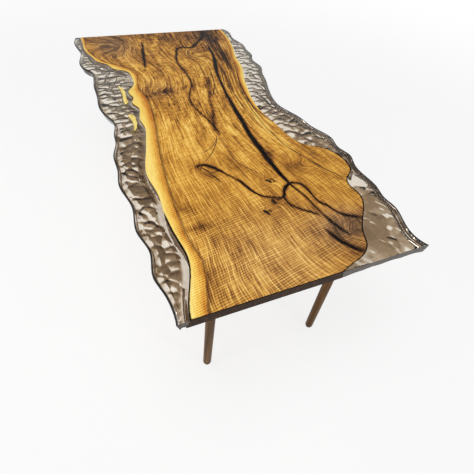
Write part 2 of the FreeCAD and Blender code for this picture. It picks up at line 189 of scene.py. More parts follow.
# Dark and light zones of the surface: place, reach across and along in metres, strength
zones = [
    (0.213, 0.925, 0.12, 0.19, -0.22), (0.5, 1.0, 0.7, 0.14, -0.2), (0.82, 0.96, 0.11, 0.2, -0.44),
    (0.8, 0.79, 0.05, 0.19, -0.3), (0.61, 0.825, 0.035, 0.05, -0.22),
    (0.7, 0.815, 0.04, 0.05, -0.14), (0.653, 0.838, 0.03, 0.04, 0.16),
    (0.34, 0.635, 0.085, 0.07, -0.27), (0.4, 0.56, 0.15, 0.12, -0.07),
    (0.349, 0.306, 0.045, 0.07, -0.24), (0.318, 0.322, 0.03, 0.03, -0.28),
    (0.45, 0.88, 0.16, 0.2, -0.07), (0.213, 0.165, 0.08, 0.022, -0.22),
    (0.2, 0.215, 0.07, 0.02, -0.12), (0.208, 0.07, 0.06, 0.02, -0.12),
    (0.716, 0.269, 0.07, 0.05, -0.22), (0.737, 0.311, 0.06, 0.03, -0.15),
    (0.559, 0.243, 0.03, 0.032, -0.18), (0.47, 0.162, 0.028, 0.03, -0.18),
    (0.522, 0.186, 0.028, 0.03, -0.18), (0.716, 0.07, 0.11, 0.08, -0.26),
    (0.779, 0.097, 0.07, 0.045, -0.3), (0.653, 0.065, 0.045, 0.07, -0.2),
    (0.705, 0.028, 0.07, 0.035, -0.28), (0.611, 0.165, 0.07, 0.06, -0.12),
    (0.338, 0.316, 0.018, 0.024, 0.4), (0.716, 0.421, 0.05, 0.18, 0.25),
    (0.43, 0.1, 0.12, 0.14, 0.1), (0.58, 0.11, 0.07, 0.08, -0.04), (0.86, 0.27, 0.08, 0.09, -0.14),
    (0.7, 0.5, 0.03, 0.24, 0.14), (0.29, 0.4, 0.08, 0.2, 0.08), (0.6, 0.95, 0.2, 0.12, -0.2),
    (0.23, 0.8, 0.05, 0.05, -0.12), (0.225, 0.56, 0.03, 0.09, -0.2),
    (0.235, 0.62, 0.03, 0.04, -0.16), (0.235, 0.7, 0.03, 0.06, 0.2), (0.36, 0.42, 0.25, 0.2, 0.06),
    (0.68, 0.4, 0.06, 0.15, 0.06),
]
# Greyer brown zones, in the same way
cool_zones = [
    (0.213, 0.93, 0.14, 0.2, 0.95), (0.42, 0.06, 0.33, 0.28, 0.5), (0.72, 0.09, 0.15, 0.11, 0.95),
    (0.34, 0.65, 0.11, 0.12, 0.3), (0.8, 0.93, 0.1, 0.2, 0.3),
]
# Zones where rays cross the rings more than around them, in the same way
hatched_zones = [
    (0.86, 0.2, 0.12, 0.16, 0.5), (0.3, 0.45, 0.1, 0.3, 0.15),
]
# Zones of clean dark bands along the grain, in the same way
banded_zones = [
    (0.755, 0.58, 0.06, 0.3, 1.0), (0.84, 0.84, 0.06, 0.25, 0.8), (0.7, 0.42, 0.07, 0.14, 0.6),
]
# Dark and light veins along the grain: half width in metres, strength, places
veins = [
    (0.02, 0.3, [(0.512, 0.995), (0.495, 0.965), (0.475, 0.935), (0.45, 0.908)]),
    (0.012, -0.34, [(0.626, 0.683), (0.583, 0.618), (0.551, 0.569),
        (0.535, 0.522), (0.5, 0.481), (0.48, 0.44)]),
    (0.01, -0.24, [(0.64, 0.78), (0.625, 0.74), (0.618, 0.7), (0.6, 0.66), (0.575, 0.63)]),
    (0.01, -0.38, [(0.84, 0.92), (0.825, 0.84), (0.805, 0.77),
        (0.785, 0.7), (0.765, 0.64), (0.745, 0.58)]),
    (0.009, -0.34, [(0.76, 0.86), (0.745, 0.79), (0.735, 0.72), (0.72, 0.66), (0.7, 0.6)]),
    (0.008, -0.3, [(0.745, 0.56), (0.735, 0.5), (0.735, 0.44), (0.75, 0.39)]),
    (0.012, -0.2, [(0.39, 0.93), (0.4, 0.86), (0.405, 0.79), (0.4, 0.72)]),
    (0.014, -0.14, [(0.27, 0.62), (0.33, 0.635), (0.4, 0.63), (0.47, 0.645)]),
    (0.012, -0.16, [(0.66, 0.42), (0.655, 0.36), (0.64, 0.32), (0.6, 0.29)]),
    (0.007, 0.26, [(0.716, 0.698), (0.688, 0.648), (0.679, 0.614)]),
    (0.01, 0.18, [(0.775, 0.66), (0.745, 0.6), (0.728, 0.54), (0.726, 0.47), (0.735, 0.4)]),
]
# Hairlines drawn into the surface: half width in metres, then places
hairlines = [
    (0.0034, [(0.726, 0.408), (0.738, 0.345), (0.792, 0.28), (0.829, 0.239), (0.874, 0.207)]),
    (0.0032, [(0.822, 0.73), (0.79, 0.671), (0.764, 0.616), (0.745, 0.546), (0.731, 0.5)]),
    (0.003, [(0.784, 0.662), (0.737, 0.574), (0.72, 0.499), (0.719, 0.423), (0.733, 0.36)]),
    (0.0034, [(0.729, 0.718), (0.707, 0.68), (0.672, 0.617)]),
    (0.0034, [(0.652, 0.706), (0.648, 0.676), (0.621, 0.632), (0.58, 0.587)]),
    (0.0085, [(0.546, 0.248), (0.556, 0.243), (0.562, 0.236)]),
    (0.005, [(0.566, 0.25), (0.576, 0.244), (0.579, 0.236)]),
    (0.009, [(0.512, 0.196), (0.521, 0.188), (0.523, 0.178)]),
    (0.0055, [(0.53, 0.193), (0.54, 0.188)]),
    (0.0085, [(0.46, 0.17), (0.47, 0.164), (0.475, 0.156)]),
    (0.005, [(0.482, 0.168), (0.49, 0.162)]),
    (0.0046, [(0.318, 0.33), (0.335, 0.316), (0.352, 0.3)]),
    (0.0036, [(0.345, 0.296), (0.362, 0.284), (0.368, 0.268)]),
]
# Brown contours of the figure, drawn in the same way
contours = [
    (0.003, [(0.126, 0.988), (0.152, 0.896), (0.188, 0.86),
        (0.229, 0.855), (0.27, 0.891), (0.294, 0.985)]),
    (0.005, [(0.676, 0.812), (0.64, 0.808), (0.612, 0.828),
        (0.625, 0.856), (0.664, 0.862), (0.69, 0.842)]),
    (0.0036, [(0.658, 0.822), (0.638, 0.832), (0.65, 0.845), (0.67, 0.838)]),
    (0.0028, [(0.359, 0.338), (0.401, 0.358), (0.447, 0.392), (0.472, 0.42)]),
    (0.0022, [(0.354, 0.364), (0.391, 0.372), (0.431, 0.387), (0.46, 0.404), (0.492, 0.406)]),
    (0.0026, [(0.475, 0.412), (0.479, 0.34), (0.491, 0.307), (0.521, 0.285), (0.555, 0.258)]),
    (0.0028, [(0.743, 0.684), (0.704, 0.616), (0.691, 0.565),
        (0.693, 0.511), (0.696, 0.456), (0.704, 0.406)]),
    (0.0026, [(0.755, 0.636), (0.737, 0.583), (0.738, 0.527),
        (0.754, 0.482), (0.77, 0.434), (0.789, 0.393)]),
]

top = cad_high.z
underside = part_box("wood_slab")[0].z
near_end, far_end = cad_low.y, cad_high.y


def across(share):
    return cad_low.x + share * (cad_high.x - cad_low.x)


def along(share):
    return near_end + share * (far_end - near_end)


def share_along(y):
    return (y - near_end) / (far_end - near_end)


def plan(place):
    return np.array((across(place[0]), along(place[1])))


def growing(value, start, growth):
    """0 up to the start, then growing to 1."""
    return np.clip((value - start) / growth, 0, 1)


def fading(value, end, fade):
    """1 at first, then fading to 0 at the end."""
    return np.clip((end - value) / fade, 0, 1)


def bell(distance, width):
    """1 at no distance, less and less further away."""
    return np.exp(-(distance / width) ** 2)


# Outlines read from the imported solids

def joined(mesh):
    """A copy of a mesh for editing, with corners that meet joined."""
    copy = bmesh.new()
    copy.from_mesh(mesh)
    bmesh.ops.remove_doubles(copy, verts=copy.verts, dist=merge_distance)
    return copy


def solid(node):
    return joined(frame["nodes"][node].data)


def top_faces(mesh):
    return [face for face in mesh.faces if all(abs(vert.co.z - top) < flush for vert in face.verts)]


def top_outlines(mesh):
    """The closed borders of a mesh's flat top as plan points, the longest first."""
    surface = set(top_faces(mesh))
    mesh.edges.index_update()
    border = {edge.index: edge for edge in mesh.edges
              if sum(face in surface for face in edge.link_faces) == 1}
    lines = []
    while border:
        edge = border.pop(next(iter(border)))
        loop = list(edge.verts)
        while loop[-1] is not loop[0]:
            step = next(other for other in loop[-1].link_edges if other.index in border)
            del border[step.index]
            loop.append(step.other_vert(loop[-1]))
        lines.append(np.array([vert.co.xy for vert in loop[:-1]]))
    return sorted(lines, key=lambda line: np.ptp(line[:, 1]), reverse=True)


def line_across(points):
    """The place across as a function of the place along."""
    points = points[np.argsort(points[:, 1])]
    return lambda y: np.interp(y, points[:, 1], points[:, 0])


def smoothed(line, width):
    """The line averaged over a stretch of the length."""
    rows = np.linspace(near_end, far_end, smoothing_rows)
    half = int(width / (rows[1] - rows[0]))
    weight = np.hanning(2 * half + 1)
    values = np.convolve(np.pad(line(rows), half, mode="edge"), weight / weight.sum(), mode="valid")
    return lambda y: np.interp(y, rows, values)


slab_solid = solid("wood_slab")
slab_outline, *crack_outlines = top_outlines(slab_solid)
left_live_edge = line_across(slab_outline[slab_outline[:, 0] < 0])
right_live_edge = line_across(slab_outline[slab_outline[:, 0] > 0])


def rim_of(node, live_edge):
    """The part of a wing's outline that lies away from the live edge."""
    outline = top_outlines(solid(node))[0]
    gap = np.abs(outline[:, 0] - live_edge(outline[:, 1]))
    return line_across(outline[gap > rim_gap])


# Fields over the surface of the slab

def gap_to_lines(points, lines, closed=True):
    """The distance of each point to the nearest of some lines."""
    nearest = np.full(len(points), np.inf)
    for line in lines:
        ends = np.roll(line, -1, axis=0) if closed else line[1:]
        for start, end in zip(line, ends):
            run = end - start
            share = np.clip((points - start) @ run / max(run @ run, tiny), 0, 1)
            nearest = np.minimum(nearest, np.linalg.norm(points - start - share[:, None] * run, axis=1))
    return nearest


def inside(points, lines):
    """Whether each point lies inside an odd number of closed lines."""
    odd = np.zeros(len(points), bool)
    for line in lines:
        for start, end in zip(line, np.roll(line, -1, axis=0)):
            spans = (start[1] > points[:, 1]) != (end[1] > points[:, 1])
            climb = end[1] - start[1] or 1.0
            reach = start[0] + (points[:, 1] - start[1]) / climb * (end[0] - start[0])
            odd ^= spans & (points[:, 0] < reach)
    return odd


def spline_through(places):
    """Points on a smooth curve through a few plan places."""
    places = [plan(place) for place in places]
    points = np.array([places[0]] + places + [places[-1]])
    curve = []
    for index in range(len(places) - 1):
        before, start, end, after = points[index:index + 4]
        for t in np.linspace(0, 1, spline_steps, endpoint=False):
            curve.append(0.5 * (2 * start + (end - before) * t
                                + (2 * before - 5 * start + 4 * end - after) * t ** 2
                                + (3 * start - before - 3 * end + after) * t ** 3))
    return np.array(curve + [points[-1]])


def grain(points):
    """Coordinates that follow the grain: across the rings and along the trunk."""
    x, y = points.T
    left = smoothed(left_live_edge, left_smoothing)(y)
    right = smoothed(right_live_edge, right_smoothing)(y)
    before = np.maximum(along(fan_start) - y, 0)
    rings = (x - left) / (right - left) * (np.mean(right - left) - fan * before ** 2)
    trunk = y - ray_slope * (x - left)
    for *place, radius, lift in knots:
        rings = rings + lift * bell(np.linalg.norm(points - plan(place), axis=1), radius)
    return np.stack((rings, trunk, np.zeros_like(rings)), axis=1)


def sapwood(points):
    """How deep each point lies in the sapwood of either edge, negative in the heartwood."""
    x, y = points.T
    border = line_across(np.array([plan(place) for place in left_heart_border]))
    slope = (border(y + slope_step) - border(y - slope_step)) / (2 * slope_step)
    slant = np.hypot(1, slope)
    left_width = np.maximum(border(y) - left_live_edge(y), least_sapwood)
    left = (border(y) - x) / slant * np.maximum(1, full_sapwood / left_width * slant)
    widths, places = np.array(right_sapwood).T
    right = right_gain * (np.interp(y, along(places), widths) - (right_live_edge(y) - x))
    return np.maximum(left, right)


def spread(points, patches):
    """The sum of soft elliptic patches at each point."""
    total = np.zeros(len(points))
    for *place, reach_across, reach_along, strength in patches:
        away = (points - plan(place)) / (reach_across, reach_along)
        total += strength * np.exp(-(away ** 2).sum(axis=1))
    return total


def tone(points):
    """How much lighter or darker the surface is at each point."""
    total = spread(points, zones)
    for half_width, strength, places in veins:
        gap = gap_to_lines(points, [spline_through(places)], closed=False)
        total += strength * bell(gap, half_width)
    return total


def bark(points):
    """How much bark shows: a dark line along either live edge at the near end."""
    x, y = points.T
    lines = []
    for edge, (width, end) in (left_live_edge, left_bark), (right_live_edge, right_bark):
        lines.append(fading(y, along(end), bark_fade) * bell(x - edge(y), width))
    return np.maximum(*lines)


def hatch(points):
    """Where rays cross the rings: strongest at the near end, fading along and to the right."""
    share_across = (points[:, 0] - cad_low.x) / (cad_high.x - cad_low.x)
    fade_along = np.clip(rays_along[0] - rays_along[1] * share_along(points[:, 1]), 0, 1)
    fade_across = np.clip(rays_across[0] - rays_across[1] * share_across, least_rays, 1)
    return np.clip(fade_along * fade_across + spread(points, hatched_zones), 0, 1)


# Patterns that look random and are the same on each run

def scatter(a, b, seed):
    """A fixed number from 0 to 1 for each cell of a grid."""
    return np.modf(np.abs(np.sin(a * 127.1 + b * 311.7 + seed * 74.7) * 43758.5453))[0]


def waves(x, y, size, seed):
    """Smooth bumps of about one size, from 0 to 1."""
    u, v = x / size, y / size
    a, b = np.floor(u), np.floor(v)
    p, q = u - a, v - b
    p, q = p * p * (3 - 2 * p), q * q * (3 - 2 * q)
    low = scatter(a, b, seed) * (1 - p) + scatter(a + 1, b, seed) * p
    high = scatter(a, b + 1, seed) * (1 - p) + scatter(a + 1, b + 1, seed) * p
    return low * (1 - q) + high * q


def scoops(x, y, size_across, size_along, seed):
    """Irregular hollows that meet in ridges: their height and a painted shade for each."""
    bend_size = bend_reach * size_across
    u = x / size_across + scoop_bend * (waves(x, y, bend_size, seed + 1) - 0.5)
    v = y / size_along + scoop_bend * (waves(x, y, bend_size, seed + 2) - 0.5)
    column, row = np.floor(u), np.floor(v)
    gaps, shades = [], []
    for a, b in ((column + i, row + j) for i in (-1, 0, 1) for j in (-1, 0, 1)):
        away = (a + scatter(a, b, seed) - u) ** 2 + (b + scatter(a, b, seed + 5) - v) ** 2
        gaps.append(away - scoop_spread * scatter(a, b, seed + 9))
        shades.append(scatter(a, b, seed + 17))
    nearest = np.min(gaps, axis=0)
    weights = np.exp(-shade_crispness * (np.array(gaps) - nearest))
    shade = (weights * np.array(shades)).sum(axis=0) / weights.sum(axis=0)
    return np.maximum(scoop_height - nearest, 0), shade


# Slab

def add_object(name, vertices, faces, materials, indices=None, smooth=True):
    mesh = bpy.data.meshes.new(name)
    mesh.from_pydata([tuple(place) for place in vertices], [], [tuple(face) for face in faces])
    for material in materials:
        mesh.materials.append(material)
    if indices is not None:
        mesh.polygons.foreach_set("material_index", np.array(indices, np.int32))
    mesh.polygons.foreach_set("use_smooth", [smooth] * len(mesh.polygons))
    mesh.update()
    piece = bpy.data.objects.new(name, mesh)
    bpy.context.scene.collection.objects.link(piece)
    return piece


def longest_run(points, wanted):
    """The longest stretch of neighbouring points that are wanted."""
    breaks = np.flatnonzero(~wanted)
    starts, ends = np.append(-1, breaks) + 1, np.append(breaks, len(points))
    best = np.argmax(ends - starts)
    return points[starts[best]:ends[best]]


def hairline_outline(half_width, places):
    """A thin ragged strip along a curve, pointed at both ends, as a closed line."""
    curve = spline_through(places)
    borders = [slab_outline] + crack_outlines
    clear = inside(curve, borders) & (gap_to_lines(curve, borders) > half_width + hairline_margin)
    curve = longest_run(curve, clear)
    run = np.gradient(curve, axis=0)
    normal = np.stack((-run[:, 1], run[:, 0]), axis=1) / np.linalg.norm(run, axis=1)[:, None]
    turns = np.linspace(hairline_blunt, math.pi - hairline_blunt, len(curve))
    taper = half_width * np.sin(turns) ** hairline_taper
    steps = np.arange(len(curve))
    left, right = (taper * (hairline_width - raggedness * scatter(steps, 1000 * half_width, seed))
                   for seed in hairline_seeds)
    return np.concatenate((curve + normal * left[:, None], (curve - normal * right[:, None])[::-1]))


def triangle_grid(low, high):
    """Points of even triangles over a plan box."""
    rows = np.arange(low[1], high[1], slab_spacing * math.sqrt(0.75))
    return np.array([(x + (row % 2) * slab_spacing / 2, y) for row, y in enumerate(rows)
                     for x in np.arange(low[0], high[0], slab_spacing)])


def surface_plate(outline, holes, marks):
    """A dense triangle mesh of a flat outline, with the marks cut in."""
    lines = [outline] + holes + marks
    grid = triangle_grid(outline.min(axis=0), outline.max(axis=0))
    grid = grid[inside(grid, [outline] + holes)]
    grid = grid[gap_to_lines(grid, lines) > slab_spacing / 2]
    points = [Vector(point) for line in lines for point in line] + [Vector(point) for point in grid]
    edges, first = [], 0
    for line in lines:
        count = len(line)
        edges += [(first + index, first + (index + 1) % count) for index in range(count)]
        first += count
    points, _, faces, *_ = delaunay_2d_cdt(points, edges, [], 0, cut_tolerance)
    points = np.array([tuple(point) for point in points])
    faces = np.array([tuple(face) for face in faces])
    centres = points[faces].mean(axis=1)
    kept = inside(centres, [outline] + holes)
    mark_of = np.full(np.count_nonzero(kept), -1)
    for index, mark in enumerate(marks):
        mark_of[inside(centres[kept], [mark])] = index
    return points, faces[kept], mark_of


def normal_up(corners):
    (ax, ay), (bx, by) = corners[1] - corners[0], corners[2] - corners[0]
    return ax * by - ay * bx > 0


def wall_finish(face):
    """The finish of a slab face below the top: end grain darkened by painted shade, live edge or plain
    wood.
    """
    at_end = all(abs(abs(vert.co.y) - far_end) < flush for vert in face.verts)
    if at_end and abs(face.normal.y) > end_facing:
        return end_face
    middle = face.calc_center_median()
    gap = min(abs(middle.x - edge(middle.y)) for edge in (left_live_edge, right_live_edge))
    return live_face if gap < live_edge_band and abs(face.normal.z) < wall_facing else wood_face


def weld(mesh):
    """Joins corners that meet, and drops those without a face."""
    whole = joined(mesh)
    loose = [vert for vert in whole.verts if not vert.link_faces]
    bmesh.ops.delete(whole, geom=loose, context="VERTS")
    whole.to_mesh(mesh)


def carry_figure(mesh):
    """Writes the fields of the wood's figure to the corners of the slab."""
    places = np.array([vert.co.xy for vert in mesh.vertices])
    fields = {
        "tone": tone(places),
        "cool": spread(places, cool_zones),
        "sapwood": sapwood(places),
        "hatch": hatch(places),
        "crack_gap": gap_to_lines(places, crack_outlines),
        "bark": bark(places),
        "banded": np.clip(spread(places, banded_zones), 0, 1),
    }
    for name, values in fields.items():
        mesh.attributes.new(name, "FLOAT", "POINT").data.foreach_set("value", values)
    flow = mesh.attributes.new("grain", "FLOAT_VECTOR", "POINT")
    flow.data.foreach_set("vector", grain(places).ravel())


def slab_piece(materials):
    """The slab: its own walls and underside, with a dense top that has the hairlines cut in."""
    marks = [hairline_outline(*hairline) for hairline in hairlines + contours]
    points, faces, mark_of = surface_plate(slab_outline, crack_outlines, marks)
    vertices = [(x, y, top) for x, y in points]
    faces = [face if normal_up(points[face]) else face[::-1] for face in faces]
    mark_faces = [hairline_face] * len(hairlines) + [contour_face] * len(contours)
    indices = [wood_face if mark < 0 else mark_faces[mark] for mark in mark_of]
    walls = slab_solid.copy()
    bmesh.ops.delete(walls, geom=top_faces(walls), context="FACES")
    walls.verts.ensure_lookup_table()
    first = len(vertices)
    vertices += [tuple(vert.co) for vert in walls.verts]
    for face in walls.faces:
        faces.append([first + vert.index for vert in face.verts])
        indices.append(wall_finish(face))
    piece = add_object("slab", vertices, faces, materials, indices, smooth=False)
    weld(piece.data)
    carry_figure(piece.data)
    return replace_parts(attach(piece, "table"), "wood_slab")


# Wings

def far_share(y, side):
    """How far the carving has changed from its near pattern to its far one."""
    start, rate = far_turn[side]
    return np.clip((share_along(y) - start) * rate, 0, 1)


def carving(x, y, side):
    """Height and painted shade of the carved underside of a wing."""
    near, far = scoops(x, y, *near_scoops[side]), scoops(x, y, *far_scoops[side])
    turn = far_share(y, side)
    height, shade = ((1 - turn) * one + turn * other for one, other in zip(near, far))
    return np.minimum(scoop_share * height + ripple_share * waves(x, y, ripple_size, 4.0), 1.0), shade


def streaked_shade(y, cells, lit, fine):
    """Painted shade of streaks and pebbles, with painted highlights on slopes, and with more contrast at
    the far end.
    """
    contrast = 1 + far_contrast * np.clip(y / far_end, 0, 1)
    base = streak_base + glint_share * growing(lit, glint_start, glint_growth)
    return base + contrast * (streak_scoops * (cells - 0.5) + streak_slopes * lit + streak_fine * fine)


def faceted_shade(x, y, cells, lit, fine):
    """Painted shade of large facets, some with painted highlights, with thin painted glints and painted
    light at the near end.
    """
    shard_glints_at = (shard_glint_across * x - shard_glint_along * y) / shard_glint_stretch
    shard_glints = waves(shard_glints_at, shard_glint_along * x + shard_glint_across * y, fine_size, 53.0)
    bright = growing(cells, bright_start, bright_growth) + growing(shard_glints, shard_glint_start, shard_glint_growth)
    base = facet_base + facet_scoops * (cells - 0.5) + facet_slopes * lit + facet_fine * fine
    return base + bright_share * bright + end_share * fading(y, end_light, end_growth)


def bordered_shade(x, y, shade):
    """A painted highlight band beside the live edge at the near end, and a painted shadow along the rim.
    """
    highlight_band_share = fading(y, highlight_band_end, highlight_band_growth) * bell(np.abs(x - x[:, -1:]) - highlight_band_gap, highlight_band_width)
    return shade + highlight_band_share * (highlight_band_shade - shade) - rim_shadow * bell(x - x[:, :1], rim_shadow_width)


def carving_painted_light(below, cells, side):
    """Painted shade and highlights of each place of the underside, by its scoop and its slope."""
    x, y, z = np.moveaxis(below, 2, 0)
    slope_across = np.gradient(z, axis=1) / np.gradient(x, axis=1)
    slope_along = np.gradient(z, axis=0) / np.gradient(y, axis=0)
    # Painted light: slopes that face a chosen direction are lighter
    lit = glint_across * slope_across + glint_along * slope_along
    fine = waves(x, y, fine_size, 31.0) - 0.5
    shade = streaked_shade(y, cells, lit, fine)
    if side == left_hand:
        return np.clip(bordered_shade(x, y, shade), 0, 1)
    near = faceted_shade(x, y, cells, lit, fine)
    return np.clip(near + far_share(y, side) * (shade - near), 0, 1)


def columns_between(rows, start, end, count):
    """A grid between two lines: its places across and along, and the share of the way across."""
    share = np.linspace(0, 1, count + 1)
    x = start[:, None] + share * (end - start)[:, None]
    return x, np.repeat(rows[:, None], count + 1, axis=1), share


def wing_top(rows, outer, inner, side):
    x, y, _ = columns_between(rows, outer - side * rim_rounding, inner, top_columns)
    return np.stack((x, y, np.full_like(y, top - resin_step)), axis=2)


def wing_underside(rows, outer, inner, side):
    """The carved underside as a grid of points, with the painted shade of each."""
    start, end = outer - side * rim_draw, inner + side * live_edge_lean
    x, y, share = columns_between(rows, start, end, wing_columns)
    ease = np.clip(np.minimum(rim_ease[side] * share, inner_ease * (1 - share)), border_ease, 1)
    height, cells = carving(x, y, side)
    below = np.stack((x, y, underside + hollow_depth * ease * height), axis=2)
    return below, carving_painted_light(below, cells, side)


def upward(rows, levels):
    """A grid of points from levels of places across and heights, the lowest level first."""
    return np.stack([np.stack((x, rows, z), axis=1) for x, z in reversed(levels)], axis=1)


def rim_wall(rows, outer, foot, side):
    """The rim from its foot up over its rounding to the surface."""
    levels = []
    for angle in np.linspace(0, math.pi / 2, rim_steps):
        x = outer - side * rim_rounding * (1 - math.sin(angle))
        levels.append((x, np.full(len(rows), top - resin_step - rim_rounding * (1 - math.cos(angle)))))
    start = top - resin_step - rim_rounding
    for share in rim_falls:
        levels.append((outer + share * (foot[:, 0] - outer), start + share * (foot[:, 2] - start)))
    return upward(rows, levels)


def inner_wall(rows, inner, foot, side):
    """The wall against the live edge, let a hair into the wood so that no air shows."""
    levels = [(inner, np.full(len(rows), top - resin_step))]
    for share in inner_falls:
        drop = top + share * (foot[:, 2] - top)
        levels.append((inner + share * (foot[:, 0] - inner) - side * bond, drop))
    levels.append((foot[:, 0], foot[:, 2]))
    return upward(rows, levels)


def shell(name, grids, materials, flipped):
    """A closed piece from grids that share their long sides, with its ends filled."""
    vertices, faces, indices, shades = [], [], [], []
    for grid, material, shade in grids:
        first, (high, wide) = len(vertices), grid.shape[:2]
        vertices.extend(grid.reshape(-1, 3))
        shades.extend(np.ones(high * wide) if shade is None else shade.ravel())
        for corner in (first + i * wide + j for i in range(high - 1) for j in range(wide - 1)):
            face = (corner, corner + 1, corner + wide + 1, corner + wide)
            faces.append(face[::-1] if flipped else face)
            indices.append(material)
    piece = add_object(name, vertices, faces, materials, indices)
    piece.data.attributes.new("shade", "FLOAT", "POINT").data.foreach_set("value", shades)
    mesh = joined(piece.data)
    ends = bmesh.ops.holes_fill(mesh, edges=[edge for edge in mesh.edges if edge.is_boundary])["faces"]
    for face in ends:
        face.material_index = cut_face
        face.smooth = False
    bmesh.ops.triangulate(mesh, faces=ends)
    mesh.to_mesh(piece.data)
    return piece


def wing_piece(name, node, live_edge, side, materials):
    """A clear wing: flat on top, carved below, with a rounded rim that draws in going down."""
    rows = np.linspace(near_end, far_end, round((far_end - near_end) / wing_row_spacing) + 1)
    outer, inner = rim_of(node, live_edge)(rows), live_edge(rows)
    below, shade = wing_underside(rows, outer, inner, side)
    wall = rim_wall(rows, outer, below[:, 0], side)
    foot, neck = clear_levels[side]
    # The middle of the rim wall stays clear and carries a painted shade
    grids = [
        (wing_top(rows, outer, inner, side), clear_face, None),
        (wall[:, :foot], foot_finish[side], None),
        (wall[:, foot - 1:neck], clear_face, np.full((len(rows), neck - foot + 1), painted_wall_shade)),
        (wall[:, neck - 1:], rim_face, None),
        (below[:, ::-1], clear_face, shade[:, ::-1]),
        (inner_wall(rows, inner, below[:, -1], side)[:, ::-1], clear_face, None),
    ]
    piece = shell(name, grids, materials, side == right_hand)
    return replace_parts(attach(piece, "table"), node)


# Islands

def even_copy(node):
    """A CAD node's shape as a new object with small even faces."""
    mesh = bpy.data.meshes.new(node)
    solid(node).to_mesh(mesh)
    piece = bpy.data.objects.new(node.replace("sapwood_", ""), mesh)
    bpy.context.scene.collection.objects.link(piece)
    remesh = piece.modifiers.new("even faces", "REMESH")
    remesh.voxel_size = island_grain
    even = bpy.data.meshes.new_from_object(piece.evaluated_get(bpy.context.evaluated_depsgraph_get()))
    piece.modifiers.clear()
    piece.data = even
    return piece


def read_vectors(vertices, name):
    values = np.empty(3 * len(vertices))
    vertices.foreach_get(name, values)
    return values.reshape(-1, 3)


def worn(places):
    """The points of an island with notches worn into its two long sides."""
    middle = places[:, :2].mean(axis=0)
    lengthwise = np.linalg.svd(places[:, :2] - middle, full_matrices=False)[2][0]
    lengthwise = lengthwise * np.sign(lengthwise[1])
    sideways = np.array((lengthwise[1], -lengthwise[0]))
    run, reach = (places[:, :2] - middle) @ lengthwise, (places[:, :2] - middle) @ sideways
    flank = run + np.sign(reach)
    wear = sum(share * waves(flank, places[:, 2], size, seed) for size, share, seed in notches)
    reach = reach * (1 - island_wear * wear)
    moved = middle + run[:, None] * lengthwise + reach[:, None] * sideways
    return np.column_stack((moved, places[:, 2]))


def island_piece(node, material):
    """An island of sapwood with worn sides and a top flush with the slab's."""
    piece = even_copy(node)
    mesh = piece.data
    places, normals = read_vectors(mesh.vertices, "co"), read_vectors(mesh.vertices, "normal")
    places[normals[:, 2] > level_facing, 2] = top
    places[:, 2] = np.minimum(places[:, 2], top)
    mesh.vertices.foreach_set("co", worn(places).ravel())
    mesh.materials.clear()
    mesh.materials.append(material)
    mesh.polygons.foreach_set("use_smooth", [True] * len(mesh.polygons))
    mesh.update()
    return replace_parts(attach(piece, "table"), node)


# Materials

def linear(value):
    """A screen value from 0 to 255 as the linear value that shaders take."""
    value = value / 255
    return value / 12.92 if value <= 0.04045 else ((value + 0.055) / 1.055) ** 2.4


def colour(red, green, blue):
    return (linear(red), linear(green), linear(blue), 1.0)


def glass_tint(red, green, blue):
    """The base colour at which light that crosses one face of the resin takes a screen colour."""
    return tuple(value * value for value in colour(red, green, blue))


def stops(*rows, kind=colour):
    """Stops of a colour ramp from rows of a position and a screen colour."""
    return [(position, kind(*shade)) for position, *shade in rows]


heart_stops = stops(
    (0.00, 30, 17, 9), (0.18, 70, 42, 19), (0.40, 132, 84, 34),
    (0.60, 186, 128, 50), (0.80, 224, 168, 70), (1.00, 246, 206, 110))
cool_stops = stops(
    (0.00, 34, 25, 19), (0.20, 78, 58, 42), (0.42, 132, 98, 68),
    (0.64, 188, 142, 90), (0.84, 216, 174, 112), (1.00, 236, 204, 144))
sapwood_stops = stops(
    (0.00, 122, 68, 22), (0.30, 204, 128, 44), (0.62, 239, 190, 84),
    (0.85, 247, 213, 110), (1.00, 251, 228, 142))
# Tints of the painted shade and highlights in the carving, from dark to clear
brown_tints = stops(
    (0.00, 66, 50, 34), (0.35, 118, 95, 69), (0.60, 158, 134, 103),
    (0.80, 200, 183, 158), (1.00, 254, 250, 243), kind=glass_tint)
grey_tints = stops(
    (0.00, 76, 68, 54), (0.35, 140, 130, 109), (0.60, 184, 173, 149),
    (0.80, 217, 208, 188), (1.00, 255, 253, 248), kind=glass_tint)
charred_stops = stops((0.30, 8, 6, 5), (0.60, 24, 16, 11), (0.80, 58, 40, 26))
lower_edge_stops = stops((0.30, 128, 100, 70), (0.60, 190, 156, 116), (0.80, 228, 200, 160))
clean_edge_stops = stops((0.34, 52, 36, 22), (0.50, 150, 112, 66), (0.66, 232, 200, 142))
sap_border, surface_bark = colour(84, 47, 27), colour(16, 10, 7)


